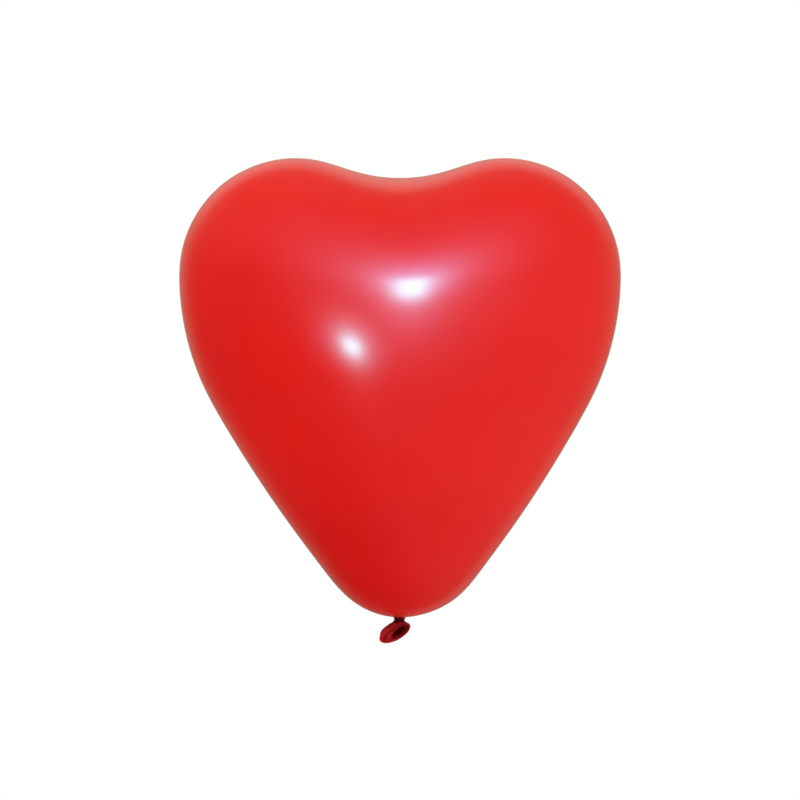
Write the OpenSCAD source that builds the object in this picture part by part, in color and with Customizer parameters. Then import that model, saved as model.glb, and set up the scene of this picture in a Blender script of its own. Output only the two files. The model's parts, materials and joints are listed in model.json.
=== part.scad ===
// Heart-shaped latex balloon, blown up and knotted in its own neck.
// The origin is the middle of the neck's waist, where a ribbon ties.
// +Z runs up to the lobes and -Y is the front.

/* [Bulb] */
// Width across the two lobes
bulb_w = 289; // [250:1:340]
// Height from the tip to the lobe tops
bulb_h = 300.5; // [270:0.5:350]
// Depth from front to back
bulb_d = 180; // [150:1:220]
// Distance between the centres of the two lobes
lobe_gap = 136; // [115:1:155]
// Distance between the centres of the front and back shoulders, seen from the side
shoulder_gap = 24; // [16:1:60]
// Dip of the cleft below the lobe tops
cleft_dip = 13; // [6:0.5:18]
// Radius of each side below its lobe, seen from the front
side_r = 178; // [160:1:210]
// Radius of the front and back below the crown, seen from the side
belly_r = 250; // [180:1:260]
// Radius of the gently curved flanks between the tip and the sides
flank_r = 850; // [500:10:2000]
// Radius of the tip, seen from the front
tip_r = 56; // [45:1:70]
// Radius of the tip, seen from the side
tip_side_r = 48; // [40:1:60]
// How much the saddle in the cleft is flatter than half the depth
saddle_extra = 15; // [5:1:40]
// Thickness of the film
film_t = 0.4; // [0.2:0.05:0.8]

/* [Neck] */
// Diameter of the gathered neck at its waist
neck_d = 6.6; // [5:0.1:9]
// Length of the neck between the tip and the knot
neck_len = 1.4; // [1:0.1:3]
// Depth of the groove round the waist
groove_w = 0.8; // [0.5:0.1:1.5]

/* [Knot] */
// Diameter of the strand that is tied
strand_d = 1.36; // [1:0.02:1.8]
// Room between strands that lie side by side
strand_room = 0.46; // [0.44:0.02:0.9]

/* [Tail] */
// Diameter of the tail where it leaves the knot
throat_d = 3; // [2:0.1:4]
// Height of the mouth's middle below the knot's end
mouth_drop = 4.1; // [3.8:0.1:8]
// Reach of the mouth's middle in front of the knot's end
mouth_reach = 7.5; // [6:0.1:10]
// Sideways lean of the mouth's middle
mouth_lean = 2.1; // [0:0.1:4]
// Tilt of the mouth's long axis from level
mouth_roll = 28; // [0:1:45]
// Angle by which the mouth faces down from straight ahead
mouth_pitch = 30; // [10:1:50]
// Length of the lip's oval, to the middle of the bead
mouth_w = 20; // [16:0.1:24]
// Height of the lip's oval, to the middle of the bead
mouth_h = 8.6; // [6.5:0.1:11]
// Length of the skirt that runs square to the mouth
sleeve_l = 4; // [2:0.1:6]
// Thickness of the skirt's film
skirt_t = 0.6; // [0.4:0.05:0.9]
// Diameter of the rolled bead
lip_d = 2.6; // [2:0.1:3.2]

/* [Fits] */
// Room between pieces that move on each other
move_gap = 0.3; // [0.2:0.05:0.5]
// Room between pieces of one body
seat_gap = 0.1; // [0.05:0.05:0.2]

/* [Hidden] */
$fn = 64;
latex = [0.86, 0.10, 0.08];
latex_slack = [0.52, 0.04, 0.06];

// Steps of the bulb's mesh: round the axis, and along each stretch of a meridian
around_n = 60;
tip_n = 8;
flank_n = 4;
side_n = 7;
lobe_n = 13;
crown_n = 6;

half_w = bulb_w / 2;
half_d = bulb_d / 2;
tip_z = neck_len / 2;
crown_z = tip_z + bulb_h - cleft_dip;
lobe_x = lobe_gap / 2;
lobe_front_r = half_w - lobe_x;
collar_r = neck_d / 2 + groove_w;
hole_r = collar_r + seat_gap;

// Curvature of the cleft seen from the front, from the arc that touches both lobes at the stated dip
cleft_curve = 2 * cleft_dip / (pow(lobe_x, 2) - cleft_dip * (2 * lobe_front_r - cleft_dip));
saddle_curve = -1 / (half_d + saddle_extra);

// A value that is `front` in the plane of the outline and `side` at right angles to it
function swing(front, side, a) = front * pow(cos(a), 2) + side * pow(sin(a), 2);

// Reach of the widest girth at angle a, an ellipse
function girth(a) = 1 / sqrt(swing(1 / pow(half_w, 2), 1 / pow(half_d, 2), a));

// Angle of a triangle between its sides b and c, opposite its side a
function corner(a, b, c) = acos((b * b + c * c - a * a) / (2 * b * c));

// Points [reach, height] along a meridian at angle a, from the neck's hole over the lobe to the cleft.
// It runs tip arc, flank arc, side arc, lobe arc, crown arc, each touching the next, and lies `inset` inside
// the outer face. The turn p is that of the outward normal, 0 straight down and 90 level.
function meridian(a, inset) =
    let (
        reach = girth(a),
        lobe = swing(lobe_x, shoulder_gap / 2, a),
        lobe_r = reach - lobe,
        side = swing(side_r, belly_r, a),
        tip = swing(tip_r, tip_side_r, a),
        curve = swing(cleft_curve, saddle_curve, a),
        stretch = 1 + lobe_r * curve,
        root = sqrt(pow(stretch, 2) - pow(curve * lobe, 2)),
        lobe_z = crown_z - (2 * lobe_r + curve * (pow(lobe_r, 2) - pow(lobe, 2))) / (root + 1),
        tip_c = tip_z + tip,
        span = [reach - side, lobe_z - tip_c],
        lean = atan2(span[0], span[1]),
        near = flank_r - tip,
        far = flank_r - side,
        start = asin(hole_r / tip),
        foot = corner(far, near, norm(span)) - lean,
        head = 180 - corner(near, far, norm(span)) - lean,
        crown = 180 + asin(lobe * curve / stretch),
        crown_reach = lobe / stretch,
        outer = concat(
            [for (i = [0 : tip_n - 1]) let (p = start + (foot - start) * i / tip_n)
                [tip * sin(p), tip_c - tip * cos(p), p]],
            [for (i = [0 : flank_n - 1]) let (p = foot + (head - foot) * i / flank_n)
                [flank_r * sin(p) - near * sin(foot), tip_c + near * cos(foot) - flank_r * cos(p), p]],
            [for (i = [0 : side_n - 1]) let (p = head + (90 - head) * i / side_n)
                [reach - side + side * sin(p), lobe_z - side * cos(p), p]],
            [for (i = [0 : lobe_n - 1]) let (p = 90 + (crown - 90) * i / lobe_n)
                [lobe + lobe_r * sin(p), lobe_z - lobe_r * cos(p), p]],
            [for (i = [0 : crown_n - 1]) let (r = crown_reach * (1 - i / crown_n), p = 180 + asin(curve * r))
                [r, crown_z + curve * r * r / (1 + sqrt(1 - pow(curve * r, 2))), p]]
        )
    )
    [for (o = outer) [o[0] - inset * sin(o[2]), o[1] + inset * cos(o[2])]];

// One row of points per step along the meridians, each row once round the axis
function bulb_rows(inset) =
    let (lines = [for (k = [0 : around_n - 1]) meridian(360 * k / around_n, inset)])
    [for (j = [0 : len(lines[0]) - 1]) [for (k = [0 : around_n - 1])
        let (a = 360 * k / around_n, m = lines[k][j]) [m[0] * cos(a), m[0] * sin(a), m[1]]]];

function flat(rows) = [for (row = rows) each row];

// Triangles between two rings of n points that start at i and j in the list of points
function band(i, j, n) = [for (k = [0 : n - 1]) let (m = (k + 1) % n)
    each [[i + k, j + k, j + m], [i + k, j + m, i + m]]];

// Triangles of a stack of rows of n points each, in order
function bands(count, n, first = 0) = [for (r = [0 : count - 2])
    each band(first + r * n, first + (r + 1) * n, n)];

// Triangles from a ring to one point
function fan(ring, point, n) = [for (k = [0 : n - 1]) [ring + k, point, ring + (k + 1) % n]];

function turned(faces) = [for (f = faces) [f[0], f[2], f[1]]];

// The blown-up film: an outer face and an inner face, joined round the hole at the neck
module heart_bulb() {
    outer = bulb_rows(0);
    inner = bulb_rows(film_t);
    rows = len(outer);
    size = rows * around_n;
    points = concat(flat(outer), flat(inner), [[0, 0, crown_z], [0, 0, crown_z - film_t]]);
    faces = concat(
        bands(rows, around_n),
        fan(size - around_n, 2 * size, around_n),
        turned(bands(rows, around_n, size)),
        turned(fan(2 * size - around_n, 2 * size + 1, around_n)),
        band(size, 0, around_n)
    );
    color(latex) polyhedron(points, faces);
}

// Height of the bulb's outer face at the left and right of its hole
collar_z = tip_z + tip_r - sqrt(pow(tip_r, 2) - pow(hole_r, 2));

// The gathered collar: it closes the hole in the tip and narrows to a waist
module neck() {
    color(latex_slack) rotate_extrude() difference() {
        translate([0, -neck_len / 2]) square([collar_r, neck_len / 2 + collar_z + film_t]);
        translate([collar_r, 0]) circle(r = groove_w);
    }
}

// The strand's route, counted in strands side by side: down the middle, out to the left, once round itself
// at the top, then from the back to the front through its own loop and out at the front
strand_r = strand_d / 2;
strand_pitch = strand_d + strand_room;
loop_level = -0.45;
route = [
    [0, 0, 0.9], [0, 0, 0.4], [0, 0, -0.3], [0, 0, -1], [-0.1, 0.15, -1.8],
    [-0.75, 0.4, -2.55], [-1.65, 0.35, -2.45], [-2.2, 0.1, -1.65], [-2.1, -0.65, -0.75],
    [-1.2, -1.45, loop_level], [0.2, -1.55, loop_level], [1.3, -0.8, loop_level], [1.45, 0.45, loop_level],
    [0.55, 1.45, loop_level], [-0.65, 1.45, -0.65], [-1.2, 0.75, -1.1], [-1, -0.2, -1.3],
    [-1, -1.1, -1.55], [-1.1, -1.65, -2.2], [-1.15, -2, -2.8]
];
strand_steps = 4;
strand_sides = 8;
end_turns = [30, 60];

// A smooth curve that follows its control points p, with n steps between them
function spline(p, n) = [for (s = [0 : n * (len(p) - 3)])
    let (i = min(floor(s / n), len(p) - 4), t = s / n - i)
    (pow(1 - t, 3) * p[i] + (3 * pow(t, 3) - 6 * t * t + 4) * p[i + 1]
        + (-3 * pow(t, 3) + 3 * t * t + 3 * t + 1) * p[i + 2] + pow(t, 3) * p[i + 3]) / 6];

function unit(v) = v / norm(v);

// Direction of travel at point i of a path
function heading(path, i) = unit(path[min(i + 1, len(path) - 1)] - path[max(i - 1, 0)]);

function square_to(v, t) = unit(v - (v * t) * t);

// Side directions along a path, each turned from the last by as little as it can be
function side_dirs(path, first) = [for (i = 0, v = square_to(first, heading(path, 0)); i < len(path);
    i = i + 1, v = i < len(path) ? square_to(v, heading(path, i)) : v) v];

// Points of an oval round a middle, with half lengths a along u and b along v
function oval(centre, u, v, a, b, n) = [for (k = [0 : n - 1]) let (q = 360 * k / n)
    centre + a * cos(q) * u + b * sin(q) * v];

function ring(centre, u, v, r, n) = oval(centre, u, v, r, r, n);

// The knot's loop lies just under the neck, and the strand starts there too
knot_top = -neck_len / 2 - move_gap;
knot_z = knot_top - strand_r - loop_level * strand_pitch;
strand_path = [for (p = spline(route, strand_steps)) let (q = strand_pitch * p + [0, 0, knot_z])
    if (q[2] < knot_top) q];
strand_n = len(strand_path);
knot_end = strand_path[strand_n - 1];
knot_out = heading(strand_path, strand_n - 1);

// Least room between turns, taken where they are further apart along the strand than `turn_apart`
turn_apart = 3 * strand_d;
strand_len = [for (i = 0, s = 0; i < strand_n; i = i + 1,
    s = i < strand_n ? s + norm(strand_path[i] - strand_path[i - 1]) : s) s];
strand_least = min([for (i = [0 : strand_n - 1]) for (j = [0 : strand_n - 1])
    if (strand_len[j] - strand_len[i] > turn_apart) norm(strand_path[j] - strand_path[i])]) - strand_d;

// The tied strand: one unbroken tube with a round end
module overhand_knot() {
    echo(strand_least_gap = strand_least);
    dirs = side_dirs(strand_path, [1, 0, 0]);
    last = dirs[strand_n - 1];
    tube = [for (i = [0 : strand_n - 1]) let (t = heading(strand_path, i))
        ring(strand_path[i], dirs[i], cross(t, dirs[i]), strand_r, strand_sides)];
    across = cross(knot_out, last);
    round_end = [for (a = end_turns)
        ring(knot_end + strand_r * sin(a) * knot_out, last, across, strand_r * cos(a), strand_sides)];
    rows = concat(tube, round_end);
    size = len(rows) * strand_sides;
    points = concat(flat(rows), [strand_path[0], knot_end + strand_r * knot_out]);
    faces = concat(
        bands(len(rows), strand_sides),
        turned(fan(0, size, strand_sides)),
        fan(size - strand_sides, size + 1, strand_sides)
    );
    color(latex_slack) polyhedron(points, faces);
}

// The mouth: its middle, and the directions along its long axis, up across it and out of it
mouth_c = knot_end + [-mouth_lean, -mouth_reach, -mouth_drop];
mouth_long = [cos(mouth_roll), 0, sin(mouth_roll)];
mouth_level = [-sin(mouth_roll), 0, cos(mouth_roll)];
mouth_out = cos(mouth_pitch) * [0, -1, 0] - sin(mouth_pitch) * mouth_level;
mouth_up = cross(mouth_out, mouth_long);
lip_r = lip_d / 2;

// The skirt runs from a ring just off the knot's round end to an oval just behind the bead
throat_c = knot_end + (strand_r + move_gap) * knot_out;
throat_u = square_to(mouth_long, knot_out);
throat_v = cross(knot_out, throat_u);
skirt_end = mouth_c - (lip_r + seat_gap) * mouth_out;
skirt_n = 9;
pocket_n = 3;
skirt_sides = 32;

// Row t of the skirt's wall, 0 at the knot and 1 at the mouth, `inset` inside the wall's middle. Each line of
// the wall leaves the knot's ring and comes to the mouth square to it.
function skirt_row(t, inset) =
    let (
        r = throat_d / 2 - inset,
        from = oval(throat_c, throat_u, throat_v, r, r, skirt_sides),
        to = oval(skirt_end, mouth_long, mouth_up, mouth_w / 2 - inset, mouth_h / 2 - inset, skirt_sides)
    )
    [for (k = [0 : skirt_sides - 1])
        pow(1 - t, 2) * from[k] + 2 * t * (1 - t) * (to[k] - sleeve_l * mouth_out) + t * t * to[k]];

// The slack end of the neck: a flattened funnel, open at the mouth and gathered shut at the knot
module tail_skirt() {
    outer = [for (i = [0 : skirt_n]) skirt_row(i / skirt_n, -skirt_t / 2)];
    inner = [for (i = [skirt_n : -1 : pocket_n]) skirt_row(i / skirt_n, skirt_t / 2)];
    rows = concat(outer, inner);
    size = len(rows) * skirt_sides;
    pocket = inner[len(inner) - 1];
    points = concat(flat(rows), [throat_c, (pocket[0] + pocket[skirt_sides / 2]) / 2]);
    faces = concat(
        bands(len(rows), skirt_sides),
        turned(fan(0, size, skirt_sides)),
        fan(size - skirt_sides, size + 1, skirt_sides)
    );
    color(latex_slack) polyhedron(points, faces);
}

// The rolled bead round the mouth
lip_n = 44;
lip_sides = 10;

module rolled_lip() {
    rows = [for (i = [0 : lip_n - 1])
        let (
            a = 360 * i / lip_n,
            c = mouth_c + mouth_w / 2 * cos(a) * mouth_long + mouth_h / 2 * sin(a) * mouth_up,
            t = unit(mouth_h / 2 * cos(a) * mouth_up - mouth_w / 2 * sin(a) * mouth_long)
        )
        ring(c, cross(mouth_out, t), mouth_out, lip_r, lip_sides)];
    size = lip_n * lip_sides;
    color(latex_slack) polyhedron(flat(rows),
        concat(bands(lip_n, lip_sides), band(size - lip_sides, 0, lip_sides)));
}

heart_bulb();
neck();
overhand_knot();
tail_skirt();
rolled_lip();
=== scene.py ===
"""Heart-shaped latex balloon: the blown-up film, its gathered neck, the knot, the slack tail and its lip."""

import json
import math

import bpy
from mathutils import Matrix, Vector


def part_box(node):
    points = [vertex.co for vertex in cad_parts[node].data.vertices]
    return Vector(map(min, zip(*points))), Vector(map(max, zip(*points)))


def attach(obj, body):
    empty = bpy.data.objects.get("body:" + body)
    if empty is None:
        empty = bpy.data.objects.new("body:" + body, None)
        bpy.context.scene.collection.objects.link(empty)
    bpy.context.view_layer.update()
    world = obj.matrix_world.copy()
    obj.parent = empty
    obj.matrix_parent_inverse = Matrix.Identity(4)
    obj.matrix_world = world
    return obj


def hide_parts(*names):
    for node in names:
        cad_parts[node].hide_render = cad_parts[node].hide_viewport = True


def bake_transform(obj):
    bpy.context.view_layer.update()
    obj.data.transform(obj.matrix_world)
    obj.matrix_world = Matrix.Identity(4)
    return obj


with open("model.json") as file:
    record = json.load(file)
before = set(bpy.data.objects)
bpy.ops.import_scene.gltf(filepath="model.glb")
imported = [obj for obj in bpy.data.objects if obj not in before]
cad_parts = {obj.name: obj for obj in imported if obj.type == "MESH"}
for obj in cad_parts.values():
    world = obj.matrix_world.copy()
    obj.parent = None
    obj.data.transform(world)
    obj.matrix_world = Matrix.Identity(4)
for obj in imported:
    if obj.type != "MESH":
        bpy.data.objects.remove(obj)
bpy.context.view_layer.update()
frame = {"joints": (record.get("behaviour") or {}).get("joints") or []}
MM = 0.001
# Keeps what is divided by away from 0
TINY = 1e-12

# Sizes of the heart, as in the part's source, in metres
film_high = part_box("heart_bulb")[1]
neck_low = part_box("neck")[0]
HALF_W = film_high.x
HALF_D = film_high.y
TIP_Z = -neck_low.z
CROWN_Z = TIP_Z + 287.5 * MM
LOBE_X = 68 * MM
SHOULDER_Y = 12 * MM
CLEFT_DIP = 13 * MM
SIDE_R = 178 * MM
BELLY_R = 250 * MM
FLANK_R = 850 * MM
TIP_R = 56 * MM
TIP_SIDE_R = 48 * MM
SADDLE_R = HALF_D + 15 * MM
LOBE_R = HALF_W - LOBE_X
CLEFT_CURVE = 2 * CLEFT_DIP / (LOBE_X**2 - CLEFT_DIP * (2 * LOBE_R - CLEFT_DIP))

# The knot's strand: its route, counted in strands side by side
STRAND_PITCH = 1.82 * MM
KNOT_MIDDLE = Vector((-0.3 * MM, 0, -0.861 * MM))
LOOP_Z = -0.45
ROUTE = [
    (0, 0, 0.9), (0, 0, 0.4), (0, 0, -0.3), (0, 0, -1), (-0.1, 0.15, -1.8),
    (-0.75, 0.4, -2.55), (-1.65, 0.35, -2.45), (-2.2, 0.1, -1.65), (-2.1, -0.65, -0.75),
    (-1.2, -1.45, LOOP_Z), (0.2, -1.55, LOOP_Z), (1.3, -0.8, LOOP_Z), (1.45, 0.45, LOOP_Z),
    (0.55, 1.45, LOOP_Z), (-0.65, 1.45, -0.65), (-1.2, 0.75, -1.1), (-1, -0.2, -1.3),
    (-1, -1.1, -1.55), (-1.1, -1.65, -2.2), (-1.15, -2, -2.8),
]

# The tail bends where the strand comes out of the knot, about a line along the mouth
tail_swing = next(joint for joint in frame["joints"] if joint["name"] == "tail_swing")
KNOT_END = Vector(tail_swing["pos_m"])
KNOT_OUT = Vector((-0.1007, -0.6023, -0.7919))

# The mouth: the ways along it, out of it and up across it, and its middle, a little off the solid one's
MOUTH_PITCH = math.radians(30)
MOUTH_LONG = Vector(tail_swing["axis"])
MOUTH_LEVEL = Vector((-MOUTH_LONG.z, 0, MOUTH_LONG.x))
MOUTH_OUT = Vector((0, -math.cos(MOUTH_PITCH), 0)) - math.sin(MOUTH_PITCH) * MOUTH_LEVEL
MOUTH_UP = MOUTH_OUT.cross(MOUTH_LONG)
SOLID_MOUTH = KNOT_END + Vector((-2.1, -7.5, -4.1)) * MM
MOUTH = SOLID_MOUTH + 0.9 * MM * MOUTH_LONG + 0.2 * MM * MOUTH_UP
MOUTH_W = 20.3 * MM
MOUTH_H = 10.4 * MM
LIP_R = 0.95 * MM


class Wire:
    """One output of a node. Arithmetic on wires adds Math nodes, and `node` adds one of any other kind."""

    def __init__(self, tree, socket=None):
        self.tree = tree
        self.socket = socket

    def node(self, kind, settings=None, inputs=None, output=0):
        made = self.tree.nodes.new(kind)
        for name, value in (settings or {}).items():
            setattr(made, name, value)
        self.fill(made, inputs or {})
        return Wire(self.tree, made.outputs[output])

    def fill(self, made, inputs):
        """Sets or links a node's inputs. A list links several wires to one input."""
        for name, value in inputs.items():
            for one in value if isinstance(value, list) else [value]:
                if isinstance(one, Wire):
                    self.tree.links.new(one.socket, made.inputs[name])
                else:
                    made.inputs[name].default_value = one

    def other(self, output):
        """Another output of the same node."""
        return Wire(self.tree, self.socket.node.outputs[output])

    def calc(self, operation, *values):
        return self.node("ShaderNodeMath", {"operation": operation}, dict(enumerate(values)))

    def __add__(self, value):
        return self.calc("ADD", self, value)

    def __radd__(self, value):
        return self.calc("ADD", value, self)

    def __sub__(self, value):
        return self.calc("SUBTRACT", self, value)

    def __rsub__(self, value):
        return self.calc("SUBTRACT", value, self)

    def __mul__(self, value):
        return self.calc("MULTIPLY", self, value)

    def __rmul__(self, value):
        return self.calc("MULTIPLY", value, self)

    def __truediv__(self, value):
        return self.calc("DIVIDE", self, value)

    def __rtruediv__(self, value):
        return self.calc("DIVIDE", value, self)

    def __pow__(self, value):
        return self.calc("POWER", self, value)

    def __neg__(self):
        return self.calc("MULTIPLY", self, -1.0)

    def __abs__(self):
        return self.calc("ABSOLUTE", self)

    def sin(self):
        return self.calc("SINE", self)

    def cos(self):
        return self.calc("COSINE", self)

    def acos(self):
        return self.calc("ARCCOSINE", self)

    def sqrt(self):
        return self.calc("SQRT", self)

    def clip(self, low, high):
        return self.calc("MINIMUM", self.calc("MAXIMUM", self, low), high)

    def rise(self, low, high):
        """0 below low, 1 above high, and smooth between them."""
        settings = {"interpolation_type": "SMOOTHSTEP"}
        return self.node("ShaderNodeMapRange", settings, {"Value": self, "From Min": low, "From Max": high})

    def bell(self, width):
        """1 where the value is 0, and next to nothing two widths away."""
        return self.calc("EXPONENT", -((self / width) ** 2))

    def mix(self, low, high):
        """A colour between two, by this value."""
        return self.node("ShaderNodeMix", {"data_type": "RGBA"}, {0: self, 6: low, 7: high}, output=2)

    def noise(self, scale, detail=2.0):
        """Noise over this place, about 0.5 on average."""
        return self.node("ShaderNodeTexNoise", {}, {"Vector": self, "Scale": scale, "Detail": detail})

    def split(self):
        x = self.node("ShaderNodeSeparateXYZ", {}, {0: self})
        return x, x.other(1), x.other(2)

    def join(self, x, y, z):
        return self.node("ShaderNodeCombineXYZ", {}, {0: x, 1: y, 2: z})

    def vector(self, operation, *values):
        return self.node("ShaderNodeVectorMath", {"operation": operation}, dict(enumerate(values)))

    def times(self, direction):
        """A vector, made longer by this value."""
        return self.node("ShaderNodeVectorMath", {"operation": "SCALE"}, {0: direction, "Scale": self})

    def plus(self, first, *steps):
        """The sum of vectors."""
        for step in steps:
            first = self.vector("ADD", first, step)
        return first


def form_tree(name, sizes, from_mesh=False):
    """A Geometry Nodes tree with a named input for each size, and those inputs as wires."""
    kinds = {int: "NodeSocketInt", float: "NodeSocketFloat", Vector: "NodeSocketVector"}
    tree = bpy.data.node_groups.new(name, "GeometryNodeTree")
    tree.interface.new_socket("Geometry", in_out="OUTPUT", socket_type="NodeSocketGeometry")
    if from_mesh:
        tree.interface.new_socket("Mesh", in_out="INPUT", socket_type="NodeSocketGeometry")
    for size, value in sizes.items():
        tree.interface.new_socket(size, in_out="INPUT", socket_type=kinds[type(value)])
    given = tree.nodes.new("NodeGroupInput")
    return tree, {socket.name: Wire(tree, socket) for socket in given.outputs if socket.name}


def grow(name, tree, sizes, shape, material, mesh=None):
    """Ends a tree, runs it with its sizes set, and keeps what it makes as a plain mesh."""
    shape = shape.node("GeometryNodeRealizeInstances", {}, {"Geometry": shape})
    shape = shape.node("GeometryNodeSetShadeSmooth", {}, {"Geometry": shape})
    shape = shape.node("GeometryNodeSetMaterial", {}, {"Geometry": shape, "Material": material})
    end = tree.nodes.new("NodeGroupOutput")
    tree.links.new(shape.socket, end.inputs["Geometry"])
    piece = bpy.data.objects.new(name, mesh or bpy.data.meshes.new(name))
    bpy.context.scene.collection.objects.link(piece)
    run = piece.modifiers.new("form", "NODES")
    run.node_group = tree
    for item in tree.interface.items_tree:
        if item.in_out == "INPUT" and item.name in sizes:
            run[item.identifier] = sizes[item.name]
    made = piece.evaluated_get(bpy.context.evaluated_depsgraph_get())
    final = bpy.data.meshes.new_from_object(made)
    piece.modifiers.remove(run)
    piece.data = final
    return piece


def moved(shape, place):
    """The shape with its points put in other places."""
    return shape.node("GeometryNodeSetPosition", {}, {"Geometry": shape, "Position": place})


def unit_ring(count):
    """A circle of radius 1 to be shaped: its curve, its angle and its two cross directions, as wires."""
    ring = count.node("GeometryNodeCurvePrimitiveCircle", {}, {"Resolution": count, "Radius": 1.0})
    x, y, z = ring.node("GeometryNodeInputPosition").split()
    return ring, ring.calc("ARCTAN2", y, x), x, y


def pleats(phase):
    """Rounded folds with sharp creases between them, one for each half turn, from -0.6 to 0.4."""
    return abs(phase.sin()) ** 0.8 - 0.6


def swing(across, front, side):
    """A value that is `front` in the plane of the heart's outline and `side` at right angles to it."""
    return side + (front - side) * across


def heart_film(material):
    """The blown-up film: meridians of touching arcs, swung round the neck's axis and softened at the joins.

    A point's angle round the axis picks its meridian, and its height on the ball its place along the arcs.
    """
    lean_starts = (-4 * MM, 14 * MM)
    lean_ends = (10 * MM, 200 * MM)
    sizes = {
        "Half Width": HALF_W,
        "Half Depth": HALF_D,
        "Tip Height": TIP_Z,
        "Crown Height": CROWN_Z,
        "Lobe Middle": LOBE_X,
        "Shoulder Middle": SHOULDER_Y,
        "Side Radius": SIDE_R,
        "Belly Radius": BELLY_R,
        "Flank Radius": FLANK_R,
        "Tip Radius": TIP_R,
        "Tip Side Radius": TIP_SIDE_R,
        "Cleft Curve": CLEFT_CURVE,
        "Saddle Radius": SADDLE_R,
        "Lean": 1.7 * MM,
        "Fineness": 97,
        "Softening": 60,
    }
    tree, size = form_tree("heart film", sizes)
    count = size["Fineness"]
    cells = {"Size": (2, 2, 2), "Vertices X": count, "Vertices Y": count, "Vertices Z": count}
    ball = count.node("GeometryNodeMeshCube", {}, cells)
    corner = ball.node("GeometryNodeInputPosition")
    spread = [part.calc("TANGENT", part * (math.pi / 4)) for part in corner.split()]
    x, y, z = ball.vector("NORMALIZE", ball.join(*spread)).split()
    flat = (x * x + y * y + TINY).sqrt()
    across = (x / flat) ** 2

    half_w, half_d = size["Half Width"], size["Half Depth"]
    reach = 1 / swing(across, 1 / (half_w * half_w), 1 / (half_d * half_d)).sqrt()
    lobe = swing(across, size["Lobe Middle"], size["Shoulder Middle"])
    lobe_r = reach - lobe
    side = swing(across, size["Side Radius"], size["Belly Radius"])
    tip = swing(across, size["Tip Radius"], size["Tip Side Radius"])
    curve = swing(across, size["Cleft Curve"], -1 / size["Saddle Radius"])
    stretch = 1 + lobe_r * curve
    root = (stretch * stretch - (curve * lobe) ** 2).sqrt()
    lobe_z = size["Crown Height"] - (2 * lobe_r + curve * (lobe_r * lobe_r - lobe * lobe)) / (root + 1)
    span_r = reach - side
    span_z = lobe_z - size["Tip Height"] - tip
    span = (span_r * span_r + span_z * span_z).sqrt()
    lean = span.calc("ARCTAN2", span_r, span_z)
    flank = size["Flank Radius"]
    near = flank - tip
    far = flank - side
    foot = ((near * near + span * span - far * far) / (2 * near * span)).acos() - lean
    head = math.pi - ((far * far + span * span - near * near) / (2 * far * span)).acos() - lean
    crown_turn = span.calc("ARCSINE", lobe * curve / stretch)
    crown_reach = lobe / stretch

    def crown_rise(r):
        return curve * r * r / (1 + (1 - (curve * r) ** 2).sqrt())

    lengths = [
        tip * foot,
        flank * (head - foot),
        side * (math.pi / 2 - head),
        lobe_r * (math.pi / 2 + crown_turn),
        crown_reach,
    ]
    total = sum(lengths[1:], lengths[0])
    left = total * (1 - z.acos() / math.pi)
    gone = []
    for length in lengths:
        gone.append(left.clip(0, length))
        left = left - length
    on_tip, on_flank, on_side, on_lobe, on_crown = gone
    turn = on_tip / tip
    r = tip * turn.sin()
    h = size["Tip Height"] + tip * (1 - turn.cos())
    for radius, start, along in ((flank, foot, on_flank), (side, head, on_side)):
        turn = start + along / radius
        r = r + radius * (turn.sin() - start.sin())
        h = h + radius * (start.cos() - turn.cos())
    turn = on_lobe / lobe_r
    r = r + lobe_r * (turn.cos() - 1) - on_crown
    h = h + lobe_r * turn.sin() + crown_rise(crown_reach - on_crown) - crown_rise(crown_reach)
    aside = size["Lean"] * h.rise(*lean_starts) * (1 - h.rise(*lean_ends))
    place = r.join(r * x / flat + aside, r * y / flat, h)

    def soften(value):
        inputs = {"Value": value, "Iterations": size["Softening"]}
        return value.node("GeometryNodeBlurAttribute", {"data_type": "FLOAT_VECTOR"}, inputs)

    # Softening draws the form in, so what the second pass took off is put back three times after the third
    once = soften(place)
    twice = soften(once)
    lost = place.vector("SUBTRACT", once, twice)
    soft = place.plus(soften(twice), lost, lost, lost)
    return grow("heart_film", tree, sizes, moved(ball, soft), material)


def capped_tube(sides, rows):
    """A closed tube to be shaped: its mesh, its angle, its two cross directions and the way down it."""
    cells = {"Vertices": sides, "Side Segments": rows, "Fill Segments": 1, "Radius": 1.0, "Depth": 1.0}
    tube = sides.node("GeometryNodeMeshCylinder", {"fill_type": "TRIANGLE_FAN"}, cells)
    x, y, z = tube.node("GeometryNodeInputPosition").split()
    return tube, tube.calc("ARCTAN2", y, x), x, y, 0.5 - z


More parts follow.
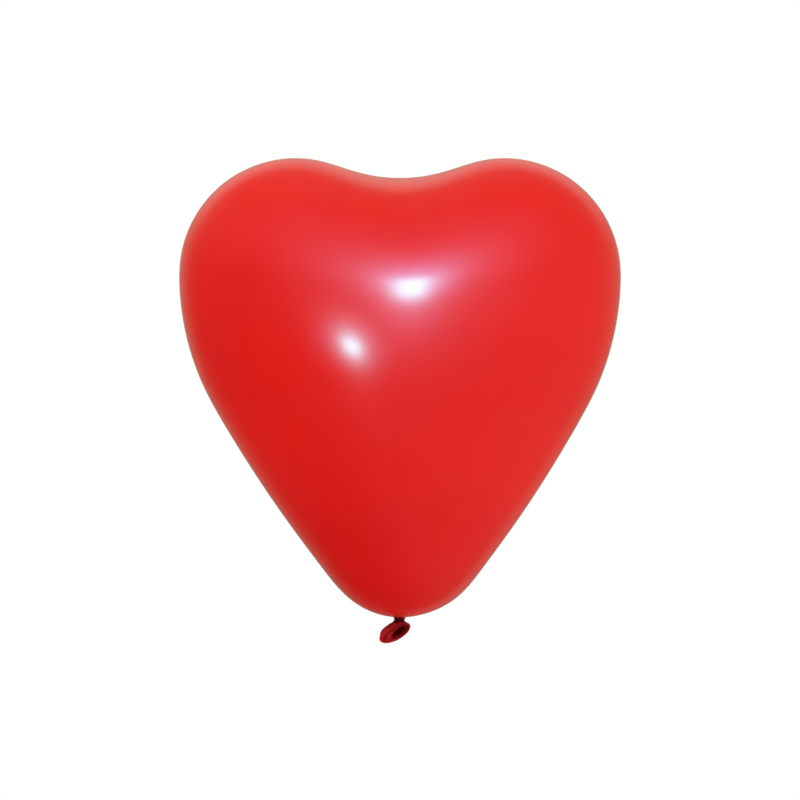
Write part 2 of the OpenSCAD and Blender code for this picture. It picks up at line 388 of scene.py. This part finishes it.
def neck_gather(material):
    """The film under the tip, drawn in from a flared rim to a pleated waist above the knot."""
    flare_share = 0.75
    sizes = {
        "Tip Height": TIP_Z,
        "Tip Radius": TIP_R,
        "Tip Side Radius": TIP_SIDE_R,
        "Rim Radius": 5.4 * MM,
        "Rim Pull": 1.2 * MM,
        "Rim Sink": 0.1 * MM,
        "Waist Radius": 3.5 * MM,
        "Waist Height": -0.6 * MM,
        "Waist Rise": 0.9 * MM,
        "Foot Height": -1.3 * MM,
        "Foot Tuck": 1.4 * MM,
        "Pleats": 13,
        "Pleat Depth": 0.34 * MM,
        "Lean": -0.4 * MM,
        "Sides": 208,
        "Rows": 56,
    }
    tree, size = form_tree("neck gather", sizes)
    tube, turn, x, y, down = capped_tube(size["Sides"], size["Rows"])
    across = x * x / (x * x + y * y + TINY)
    tip = swing(across, size["Tip Radius"], size["Tip Side Radius"])
    rim = size["Rim Radius"]
    root = (tip * tip - rim * rim).sqrt()
    rim_z = size["Tip Height"] + tip - root + size["Rim Sink"]
    waist, waist_z = size["Waist Radius"], size["Waist Height"]

    t = (down / flare_share).clip(0, 1)
    u = 1 - t
    pull = size["Rim Pull"]
    r = u**3 * rim + 3 * u * u * t * (rim - pull) + (3 * u * t * t + t**3) * waist
    h = u**3 * rim_z + 3 * u * u * t * (rim_z - pull * rim / root)
    h = h + 3 * u * t * t * (waist_z + size["Waist Rise"]) + t**3 * waist_z
    foot = ((down - flare_share) / (1 - flare_share)).clip(0, 1)
    r = r - size["Foot Tuck"] * foot**4
    h = h + (size["Foot Height"] - waist_z) * foot

    wander = 0.8 * (2 * turn + 0.5).sin() + 0.5 * (3 * turn + 2).sin()
    r = r + size["Pleat Depth"] * t * t * pleats(size["Pleats"] * turn / 2 + wander)
    place = tube.join(x * r + size["Lean"] * t, y * r, h)
    return grow("neck_gather", tree, sizes, moved(tube, place), material)


def knot_strand(material):
    """The tied strand: one unbroken pleated cord of gathered film along the knot's route."""
    sizes = {
        "Strand Radius": 0.88 * MM,
        "Pleats": 7,
        "Pleat Depth": 0.2,
        "Twist": 7.0,
        "Swell": 0.09,
        "Steps": 260,
        "Sides": 42,
    }
    line = bpy.data.meshes.new("knot_strand")
    points = [KNOT_MIDDLE + STRAND_PITCH * Vector(point) for point in ROUTE]
    line.from_pydata(points, [(i, i + 1) for i in range(len(points) - 1)], [])
    tree, size = form_tree("knot strand", sizes, from_mesh=True)
    path = size["Mesh"].node("GeometryNodeMeshToCurve", {}, {"Mesh": size["Mesh"]})
    path = path.node("GeometryNodeCurveSplineType", {"spline_type": "NURBS"}, {"Curve": path})
    evenly = {"Curve": path, "Count": size["Steps"]}
    path = path.node("GeometryNodeResampleCurve", {"mode": "COUNT"}, evenly)
    along = path.node("GeometryNodeSplineParameter")
    path = path.node("GeometryNodeSetCurveTilt", {}, {"Curve": path, "Tilt": along * size["Twist"]})

    ring, turn, x, y = unit_ring(size["Sides"])
    r = 1 + size["Pleat Depth"] * pleats(size["Pleats"] * turn / 2)
    ring = moved(ring, ring.join(x * r, y * r, 0.0))

    swell = 1 + size["Swell"] * ((along * 31).sin() + (along * 53 + 1).sin()) / 2
    radius = size["Strand Radius"] * swell
    swept = {"Curve": path, "Profile Curve": ring, "Scale": radius, "Fill Caps": True}
    shape = path.node("GeometryNodeCurveToMesh", {}, swept)
    return grow("knot_strand", tree, sizes, shape, material, line)


def tail_funnel(material):
    """The slack end of the neck: a flattened funnel from the knot to the mouth, and the folds in it.

    Its first stored attribute is painted shade, high where the film is gathered at the knot (most on the
    side under the bulb), in the groove and deep inside the mouth; its second is painted light on the
    tongue's crest.
    """
    wall_end = 0.45
    hole_start = 0.75
    throat_r = 1.7 * MM
    throat_across = (MOUTH_LONG - MOUTH_LONG.dot(KNOT_OUT) * KNOT_OUT).normalized()
    sizes = {
        "Throat Middle": KNOT_END + 0.3 * MM * KNOT_OUT,
        "Throat Across": throat_r * throat_across,
        "Throat Up": throat_r * KNOT_OUT.cross(throat_across),
        "Mouth Middle": MOUTH,
        "Mouth Along": MOUTH_LONG,
        "Mouth Up": MOUTH_UP,
        "Mouth Out": MOUTH_OUT,
        "Half Length": MOUTH_W / 2,
        "Half Height": MOUTH_H / 2,
        "Wall Depth": 0.75 * MM,
        "Sleeve": 4.4 * MM,
        "Pleats": 11,
        "Pleat Depth": 0.26,
        "Flute Depth": 0.3 * MM,
        "Puff": 2.0 * MM,
        "Dish Rise": 0.6 * MM,
        "Dish Depth": 2.0 * MM,
        "Hole Along": 2.3 * MM,
        "Hole Up": -2.3 * MM,
        "Hole Half Length": 5.4 * MM,
        "Hole Half Height": 2.0 * MM,
        "Hole Turn": math.radians(14),
        "Hole Depth": 5.5 * MM,
        "Tongue Along": -3.4 * MM,
        "Tongue Up": -1.2 * MM,
        "Tongue Half Length": 4.3 * MM,
        "Tongue Half Height": 2.2 * MM,
        "Tongue Rise": 0.75 * MM,
        "Groove Depth": 0.9 * MM,
        "Sides": 176,
        "Rows": 110,
    }
    tree, size = form_tree("tail funnel", sizes)
    tube, turn, x, y, down = capped_tube(size["Sides"], size["Rows"])
    half_long, half_high = size["Half Length"], size["Half Height"]

    def at_mouth(along, up, deep):
        """A point by its place over the mouth and its depth behind it."""
        over = along.times(size["Mouth Along"]), up.times(size["Mouth Up"])
        return tube.plus(size["Mouth Middle"], *over, (-deep).times(size["Mouth Out"]))

    # Outer wall: each line leaves the knot's ring and comes to the mouth square to it
    t = (down / wall_end).clip(0, 1)
    u = 1 - t
    wander = 0.7 * (2 * turn + 1).sin()
    gather = 1 + size["Pleat Depth"] * u * u * pleats(size["Pleats"] * turn / 2 + wander)
    flute = 1 + size["Flute Depth"] / half_high * (4 * t * u) ** 2 * (5 * turn + 0.8).sin()
    round_throat = (x * gather).times(size["Throat Across"]), (y * gather).times(size["Throat Up"])
    throat = tube.plus(size["Throat Middle"], *round_throat)
    rim_x, rim_y = x * half_long * flute, y * half_high * flute
    puffed = rim_y + size["Puff"] * (1 - 0.6 * x) * y.rise(-0.3, 0.9)
    bend = at_mouth(rim_x, puffed, size["Wall Depth"] + size["Sleeve"])
    rim = at_mouth(rim_x, rim_y, size["Wall Depth"])
    wall = tube.plus((u * u).times(throat), (2 * t * u).times(bend), (t * t).times(rim))

    # Inside: a dish from the rim to the hole's edge, with a tongue and the groove beside it, then the hole
    into = ((down - wall_end) / (hole_start - wall_end)).clip(0, 1)
    deep = ((down - hole_start) / (1 - hole_start)).clip(0, 1)
    hole_x, hole_y = x * size["Hole Half Length"], y * size["Hole Half Height"]
    lean_cos, lean_sin = size["Hole Turn"].cos(), size["Hole Turn"].sin()
    narrowed = 1 - 0.45 * deep
    hole_along = size["Hole Along"] + (hole_x * lean_cos - hole_y * lean_sin) * narrowed
    hole_up = size["Hole Up"] + (hole_x * lean_sin + hole_y * lean_cos) * narrowed
    along = x * half_long * (1 - into) + hole_along * into
    up = y * half_high * (1 - into) + hole_up * into
    tongue_x = (along - size["Tongue Along"]) / size["Tongue Half Length"]
    tongue_y = (up - size["Tongue Up"]) / size["Tongue Half Height"]
    tongue = (tongue_x * tongue_x + tongue_y * tongue_y).sqrt()
    upper_left = (tongue_y - 0.7 * tongue_x).rise(-0.4, 0.9)
    fade = into.rise(0, 0.25) * (1 - into.rise(0.75, 1))
    depth = size["Dish Depth"] * into.rise(0, 1) - size["Dish Rise"]
    groove = (tongue - 1.05).bell(0.4) * upper_left * fade
    depth = depth + size["Groove Depth"] * groove - size["Tongue Rise"] * tongue.bell(0.8) * fade

    # The hole's wall starts part of the way down its curve, which makes its edge crisp
    edge_share = 0.316
    drop = deep.rise(-0.6, 1) - edge_share * (1 - into.rise(0.9, 1))
    inside = at_mouth(along, up, depth + size["Hole Depth"] * drop)

    hair = 0.0001
    past_rim = down.rise(wall_end - hair, wall_end + hair)
    place = tube.node("ShaderNodeMix", {"data_type": "VECTOR"}, {0: past_rim, 4: wall, 5: inside}, output=1)
    # Painted shade: darker near the knot, most on the upper side under the bulb, in the groove and deep in
    # the hole
    shaded = u.rise(0.05, 0.5) * (0.45 + 0.55 * y.rise(-0.3, 0.5))
    hollow = (shaded + 0.6 * groove + 0.72 * into.rise(0.9, 1)).clip(0, 1)
    # Painted light: the tongue's crest beside the hole is made lighter
    ridge = tongue.bell(1.0) * into.rise(0.5, 0.8)
    shape = tube
    for name, value in (("hollow", hollow), ("ridge", ridge)):
        named = {"Geometry": shape, "Name": name, "Value": value}
        shape = shape.node("GeometryNodeStoreNamedAttribute", {}, named)
    return grow("tail_funnel", tree, sizes, moved(shape, place), material)


def rolled_bead(material):
    """The rolled lip round the mouth: a cord of rolled film with the roll's edge showing as a fine line."""
    sizes = {
        "Mouth Middle": MOUTH,
        "Half Along": MOUTH_W / 2 * MOUTH_LONG,
        "Half Up": MOUTH_H / 2 * MOUTH_UP,
        "Mouth Out": MOUTH_OUT,
        "Bead Radius": LIP_R,
        "Swell": 0.05,
        "Wave": 0.28 * MM,
        "Roll Edge": 0.16,
        "Steps": 220,
        "Sides": 36,
    }
    tree, size = form_tree("rolled bead", sizes)
    path, turn, x, y = unit_ring(size["Steps"])
    wave = size["Wave"] * ((2 * turn + 1).sin() + 0.5 * (3 * turn).sin())
    sides = [x.times(size["Half Along"]), y.times(size["Half Up"]), wave.times(size["Mouth Out"])]
    path = moved(path, path.plus(size["Mouth Middle"], *sides))

    ring, turn, x, y = unit_ring(size["Sides"])
    r = 1 - size["Roll Edge"] * (turn - 0.6).bell(0.22)
    ring = moved(ring, ring.join(x * r, y * r, 0.0))

    along = path.node("GeometryNodeSplineParameter") * (2 * math.pi)
    swell = 1 + size["Swell"] * ((3 * along + 0.4).sin() + (7 * along).sin() + (11 * along + 2).sin()) / 3
    swept = {"Curve": path, "Profile Curve": ring, "Scale": size["Bead Radius"] * swell}
    shape = path.node("GeometryNodeCurveToMesh", {}, swept)
    return grow("rolled_bead", tree, sizes, shape, material)


def surface(name, paint):
    """A material whose shader takes the values that `paint` gives for the place on the piece."""
    material = bpy.data.materials.new(name)
    material.use_nodes = True
    tree = material.node_tree
    place = Wire(tree).node("ShaderNodeTexCoord", output="Object")
    place.fill(tree.nodes["Principled BSDF"], paint(place))
    return material


def relief(height, depth):
    """Bumps of a given depth, from a height between 0 and 1."""
    return height.node("ShaderNodeBump", {}, {"Strength": 1.0, "Distance": depth, "Height": height})


# Reds of the blown-up film, of slack latex and of latex drawn tight at the waist and in the knot
FILM_DEEP = (0.66, 0.0010, 0.0002, 1)
FILM_LIGHT = (0.80, 0.0040, 0.0018, 1)
# Painted light: the pale orange glow of the film just above the neck
FILM_NECK_PAINTED_LIGHT = (0.70, 0.0280, 0.0150, 1)
FILM_EDGE = (1.0, 0.03, 0.015, 1)
# Painted shade: the slack latex's red near the knot, in the groove and deep inside the mouth
SLACK_PAINTED_SHADE = (0.045, 0.0006, 0.0008, 1)
SLACK_DEEP = (0.19, 0.0020, 0.0040, 1)
SLACK_LIGHT = (0.42, 0.0060, 0.0080, 1)
WAIST_DEEP = (0.05, 0.0006, 0.0010, 1)
WAIST_LIGHT = (0.10, 0.0010, 0.0015, 1)
WAIST_HIGH = (0.24, 0.0025, 0.0025, 1)


def from_neck(place, reach):
    """0 at the neck and 1 from that reach on."""
    length = place.node("ShaderNodeVectorMath", {"operation": "LENGTH"}, {0: place}, output="Value")
    return length.rise(8 * MM, reach)


def film_colour(place):
    """The stretched film's red: deeper at the tip, faintly clouded, and paler with painted light by the
    neck.
    """
    x, y, z = place.split()
    cloud = place.noise(11, 3)
    light = (0.05 + 0.85 * z.rise(0, 0.12) + 0.9 * (cloud - 0.5)).clip(0, 1)
    return from_neck(place, 32 * MM).mix(FILM_NECK_PAINTED_LIGHT, light.mix(FILM_DEEP, FILM_LIGHT))


def gathers(place, reach):
    """Fine wrinkles that run out from the neck and die away over a reach."""
    x, y, z = place.split()
    r = (x * x + y * y + TINY).sqrt()
    wrinkle = place.join(x / r, y / r, 6 * r).noise(5, 3)
    return (wrinkle - 0.5) * (1 - r.rise(reach / 6, reach))


def stretched(place):
    """Blown-up latex: glossy but for the neck, with a faint grain, and wrinkled round the neck."""
    grain = place.noise(1400, 2)
    smear = place.noise(26, 4)
    waves = place.noise(16, 1)
    height = 0.5 + 0.9 * gathers(place, 34 * MM) + 0.02 * (grain - 0.5) + 0.25 * (waves - 0.5)
    gloss = (0.75 + 0.4 * (smear - 0.5)).clip(0, 1)
    return {
        "Base Color": film_colour(place),
        "Roughness": 0.24 + 0.08 * (smear - 0.5) + 0.06 * (grain - 0.5),
        "Coat Weight": gloss * (0.05 + 0.95 * from_neck(place, 48 * MM)),
        "Coat Roughness": 0.19,
        "Coat IOR": 1.5,
        "Specular IOR Level": 0.25,
        "Sheen Weight": 0.25,
        "Sheen Roughness": 0.45,
        "Sheen Tint": FILM_EDGE,
        "Normal": relief(height, 0.1 * MM),
    }


def slack(place):
    """Slack latex: paler at the lip's end, painted shade in hollows, painted light on the tongue's crest."""
    x, y, z = place.split()
    crease = place.vector("MULTIPLY", place, (1, 1, 0.6)).noise(420, 4)
    grain = place.noise(2600, 2)
    # Painted shade in the hollows and painted light on the tongue's crest, both stored by the funnel
    hollow = place.node("ShaderNodeAttribute", {"attribute_name": "hollow"}, output="Fac")
    ridge = place.node("ShaderNodeAttribute", {"attribute_name": "ridge"}, output="Fac")
    away = (-MOUTH_LONG.x * x - MOUTH_LONG.z * z).rise(2 * MM, 16 * MM)
    tone = (0.8 * away + 0.7 * ridge + 0.9 * (crease - 0.4)).clip(0, 1).mix(SLACK_DEEP, SLACK_LIGHT)
    return {
        "Base Color": hollow.mix(tone, SLACK_PAINTED_SHADE),
        "Roughness": 0.52 + 0.14 * (crease - 0.5) + 0.1 * (grain - 0.5),
        "Coat Weight": 0.02 * crease.rise(0.35, 0.6),
        "Coat Roughness": 0.25,
        "Specular IOR Level": 0.04,
        "Normal": relief(crease + 0.1 * grain, 0.05 * MM),
    }


def knotted(place):
    """The pulled strand: nearly black red, with fine creases along it."""
    crease = place.noise(900, 3)
    return {
        "Base Color": crease.rise(0.3, 0.7).mix(WAIST_DEEP, WAIST_LIGHT),
        "Roughness": 0.46 + 0.16 * (crease - 0.5),
        "Coat Weight": 0.05,
        "Coat Roughness": 0.25,
        "Specular IOR Level": 0.12,
        "Normal": relief(crease, 0.05 * MM),
    }


def gathered(place):
    """The film as it is drawn together: the film's red at the rim, and nearly black red below the waist."""
    x, y, z = place.split()
    r = (x * x + y * y).sqrt()
    crease = place.join(x / r, y / r, 40 * z).noise(7, 3)
    high = (z.rise(-0.9 * MM, 0.1 * MM) + 0.5 * (crease - 0.5)).clip(0, 1)
    tone = high.mix(WAIST_DEEP, WAIST_HIGH)
    out = z.rise(0.7 * MM, 1.05 * MM)
    return {
        "Base Color": out.mix(tone, film_colour(place)),
        "Roughness": 0.42 + 0.12 * (crease - 0.5) - 0.18 * out,
        "Coat Weight": 0.7 * out,
        "Coat Roughness": 0.14,
        "Specular IOR Level": 0.06,
        "Normal": relief(crease, 0.06 * MM),
    }


slack_latex = surface("slack_latex", slack)
film = heart_film(surface("stretched_latex", stretched))
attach(film, "bulb")
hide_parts("heart_bulb")

neck = neck_gather(surface("gathered_latex", gathered))
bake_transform(neck)
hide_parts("neck")

strand = knot_strand(surface("knotted_latex", knotted))
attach(strand, "knot")
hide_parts("overhand_knot")

funnel = tail_funnel(slack_latex)
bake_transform(funnel)
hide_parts("tail_skirt")

bead = rolled_bead(slack_latex)
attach(bead, "tail")
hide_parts("rolled_lip")

# Camera: straight at the front. The frame's span is what it sees of the plane through the neck's axis
FRAME_SPAN = 524.3 * MM
CAMERA_Y = -1.6
CAMERA_Z = 143 * MM
SENSOR = 36
camera = bpy.data.objects.new("camera", bpy.data.cameras.new("camera"))
bpy.context.scene.collection.objects.link(camera)
camera.location = (0, CAMERA_Y, CAMERA_Z)
camera.rotation_euler = (math.pi / 2, 0, 0)
camera.data.sensor_width = SENSOR
camera.data.lens = SENSOR * -CAMERA_Y / FRAME_SPAN
bpy.context.scene.camera = camera
bpy.context.scene.view_settings.view_transform = "Standard"


# Soft boxes: the way to each from its spot on the film, the glows round the front ones, and their tints
UPPER_BOX = (0.060, -0.982, 0.175)
UPPER_SPOT = (0.005, -0.09, 0.212)
UPPER_LIGHT = (0.11, 0.74, 0.81)
LOWER_BOX = (-0.325, -0.912, -0.250)
LOWER_SPOT = (-0.031, -0.085, 0.1765)
LOWER_LIGHT = (0.15, 0.75, 0.80)
BACK_BOX = (0, 1, 0.0205)
BACK_SPOT = (0, 0.09, 0.212)
BACK_LIGHT = (1, 0.97, 0.94)
GLOW = (0.07, -0.955, 0.29)
GLOW_TINT = (0.8, 2.4, 3.9)
UPPER_HALO = (0.080, -0.962, 0.250)
UPPER_TINT = (1.2, 6.0, 12.2)
LOWER_HALO = (-0.312, -0.921, -0.233)
LOWER_TINT = (0.8, 3.5, 7.2)
ROOM_TINT = (1.0, 1.0, 0.75)
WHITE = (1, 1, 1)


def studio():
    """Surroundings: white to the camera, even for soft light, and for gloss a dim room with glows."""
    world = bpy.data.worlds.new("studio")
    bpy.context.scene.world = world
    world.use_nodes = True
    way = Wire(world.node_tree).node("ShaderNodeTexCoord", output="Generated")
    x, y, z = way.split()
    to_camera = x.node("ShaderNodeLightPath")
    glossy = to_camera.other("Is Glossy Ray")

    def glow(aim, width, height):
        """1 in a direction on the camera's side, and next to nothing two widths or heights away."""
        aim = Vector(aim).normalized()
        return (x - aim.x).bell(width) * (z - aim.z).bell(height) * (-y).rise(0, 0.4)

    # Soft light comes most from behind, the upper left and the lower right
    even = 0.97 + 0.17 * z + 0.11 * x - 0.6 * x * z + 0.26 * y.rise(-0.3, 0.6)

    # For gloss the room is dimmest at the lower left
    room = (0.10 + 0.06 * x + 0.085 * z - 0.065 * x * z).clip(0.02, 1)

    # What the rims mirror: paler walls behind the heart, palest above it and low on the right
    walls = 0.2 * y.rise(0.88, 1) + (0.11 + 0.12 * (-x).rise(0, 0.6) + 0.06 * z) * y.rise(0.3, 0.85)
    low_right = (-z).rise(0.2, 0.6) * x.rise(-0.1, 0.4)
    palest = (0.27 * z.rise(0.2, 0.6) + 0.15 * low_right) * y.rise(0.45, 0.7)

    wide = glow(GLOW, 0.44, 0.40).times(GLOW_TINT)
    upper = glow(UPPER_HALO, 0.15, 0.24).times(UPPER_TINT)
    lower = glow(LOWER_HALO, 0.145, 0.075).times(LOWER_TINT)
    shine = way.plus((room + walls).times(ROOM_TINT), palest.times(WHITE), wide, upper, lower)
    light = glossy.mix(even.times(WHITE), shine)
    seen = to_camera.mix(light, (*WHITE, 1))
    seen.fill(world.node_tree.nodes["Background"], {"Color": seen, "Strength": 1.0})


def lamp(name, towards, spot, colour, distance, size, radiance):
    """A soft box of a given radiance, that far from a spot on the film and facing it."""
    width, height = size
    light = bpy.data.lights.new(name, "AREA")
    light.shape = "RECTANGLE"
    light.size = width
    light.size_y = height
    light.color = colour
    light.energy = radiance * math.pi * width * height
    box = bpy.data.objects.new(name, light)
    bpy.context.scene.collection.objects.link(box)
    towards = Vector(towards).normalized()
    box.location = Vector(spot) + distance * towards
    box.rotation_euler = towards.to_track_quat("Z", "Y").to_euler()
    box.visible_camera = False


def pale_floor(height, radius):
    """A pale disc far under the floating balloon, that keeps its shadow and fades out into the white."""
    steps = 96
    tones = (0.86, 0.86, 0.86, 1), (0.9, 0.9, 0.9, 1)
    turns = [2 * math.pi * step / steps for step in range(steps)]
    edge = [(radius * math.cos(turn), radius * math.sin(turn), height) for turn in turns]
    mesh = bpy.data.meshes.new("floor")
    mesh.from_pydata(edge, [], [range(steps)])
    floor = bpy.data.objects.new("floor", mesh)
    bpy.context.scene.collection.objects.link(floor)

    def paint(place):
        x, y, z = place.split()
        fade = 1 - (x * x + y * y).sqrt().rise(0.3 * radius, 0.95 * radius)
        tone = place.noise(3, 2).mix(*tones)
        return {"Base Color": tone, "Roughness": 0.9, "Specular IOR Level": 0.1, "Alpha": fade}

    mesh.materials.append(surface("pale_floor", paint))
    floor.visible_glossy = False
    floor.visible_diffuse = False


studio()
lamp("upper_box", UPPER_BOX, UPPER_SPOT, UPPER_LIGHT, distance=2.2, size=(0.355, 0.58), radiance=37.5)
lamp("lower_box", LOWER_BOX, LOWER_SPOT, LOWER_LIGHT, distance=2.0, size=(0.20, 0.11), radiance=122)
# The back box lights the rims. It stands in line behind the heart, where no rim mirrors it to the camera
lamp("back_box", BACK_BOX, BACK_SPOT, BACK_LIGHT, distance=2.2, size=(0.30, 0.42), radiance=13)
pale_floor(height=-1.6, radius=2.5)
